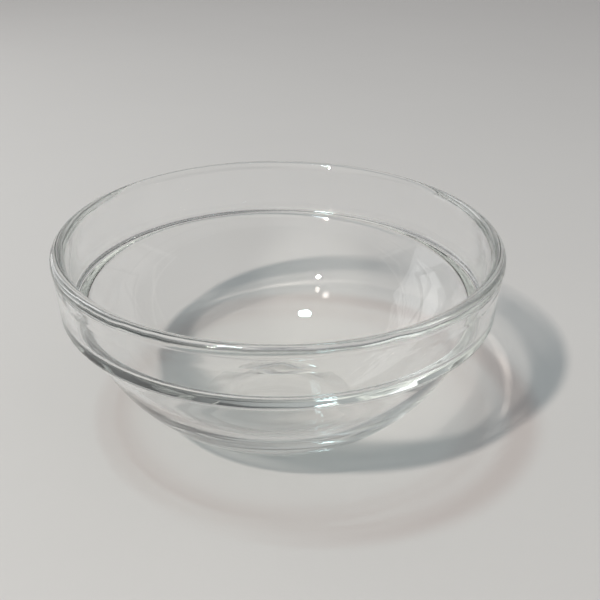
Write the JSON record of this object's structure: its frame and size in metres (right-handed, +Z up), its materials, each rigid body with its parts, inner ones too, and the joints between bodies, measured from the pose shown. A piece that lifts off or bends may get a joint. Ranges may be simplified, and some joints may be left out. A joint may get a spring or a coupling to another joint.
{
  "type": "prep bowl",
  "caption": "Round stackable prep bowl of clear pressed glass with a rounded rim, a slightly flared collar, an inner ledge over an outer shoulder, a rounded basin and a small flat foot.",
  "frame": {"origin": "centre of the base on the table plane", "axes": "+Z up along the axis of revolution, from the foot to the rim"},
  "size_m": [0.105, 0.105, 0.047],
  "materials": {
    "glass": "clear, fire polished"
  },
  "bodies": {
    "root": {"bowl": "glass"}
  },
  "joints": []
}
